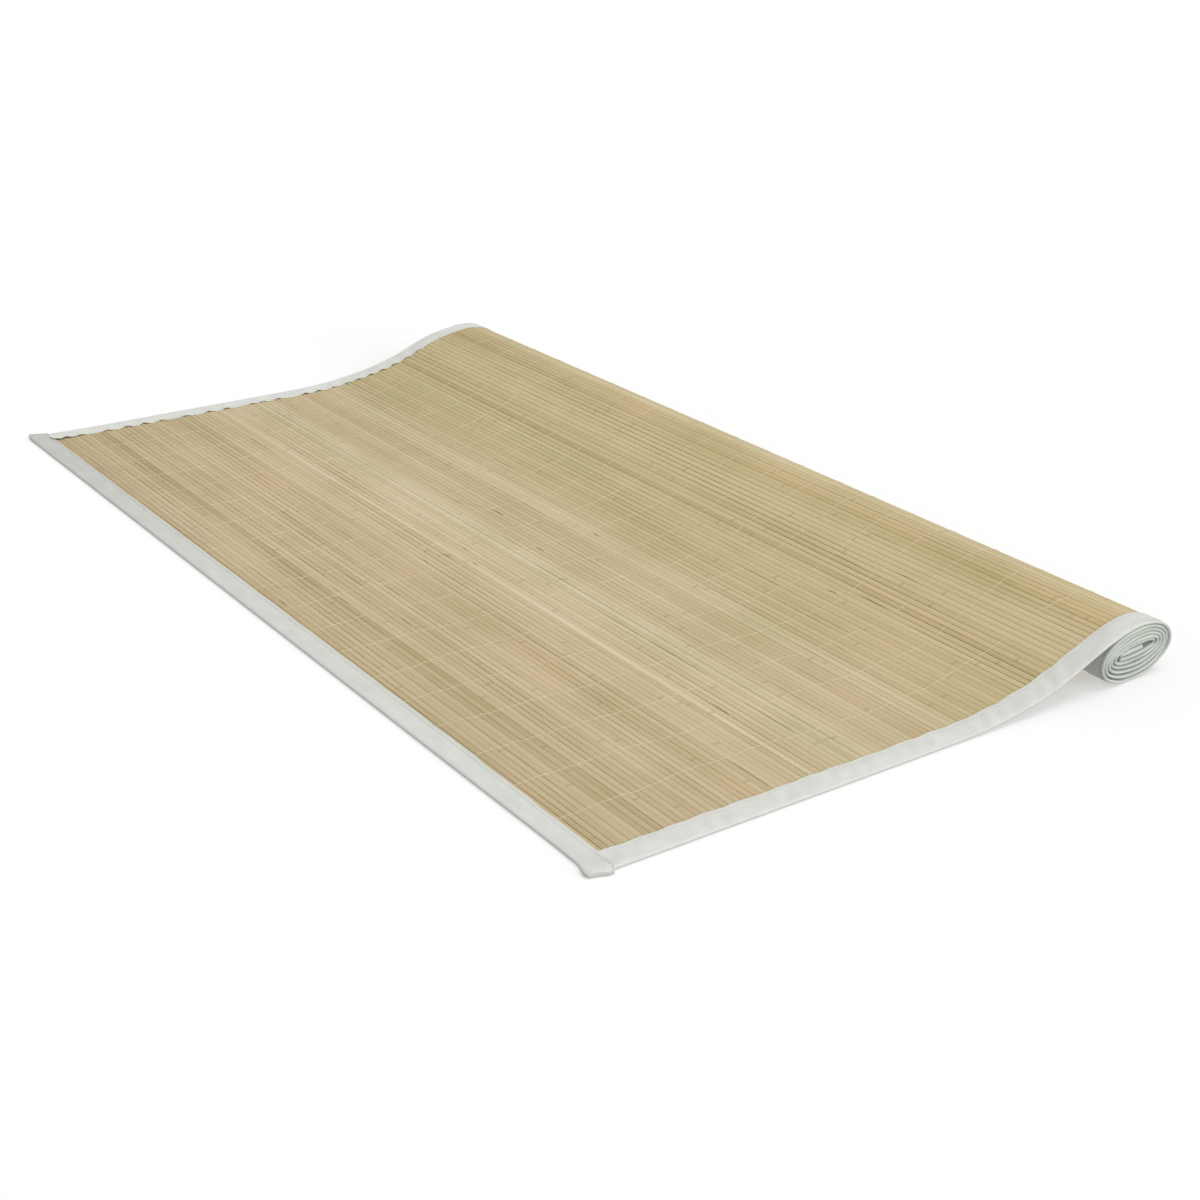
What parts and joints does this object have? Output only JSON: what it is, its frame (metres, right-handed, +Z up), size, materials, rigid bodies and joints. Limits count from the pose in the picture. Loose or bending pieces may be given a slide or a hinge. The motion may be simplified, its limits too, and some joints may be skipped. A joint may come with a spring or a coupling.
{
  "type": "rolled bamboo rug",
  "caption": "Woven bamboo slat rug with a pale cotton edge binding, lying flat at its free end, rising gently and wound into a low oval roll along the other end.",
  "frame": {"origin": "centre of the rug's footprint, on the surface that it lies on", "axes": "+X along the slats and the roll, +Y from the free end towards the roll, +Z up"},
  "size_m": [1.0124, 0.554, 0.0475],
  "materials": {
    "bamboo": "bare split bamboo, satin, slightly uneven from slat to slat",
    "binding": "pale grey-white cotton tape, matt"
  },
  "bodies": {
    "root": {"slat_mat": "bamboo", "binding_end": "binding", "binding_side_near": "binding", "binding_side_far": "binding"}
  },
  "joints": []
}
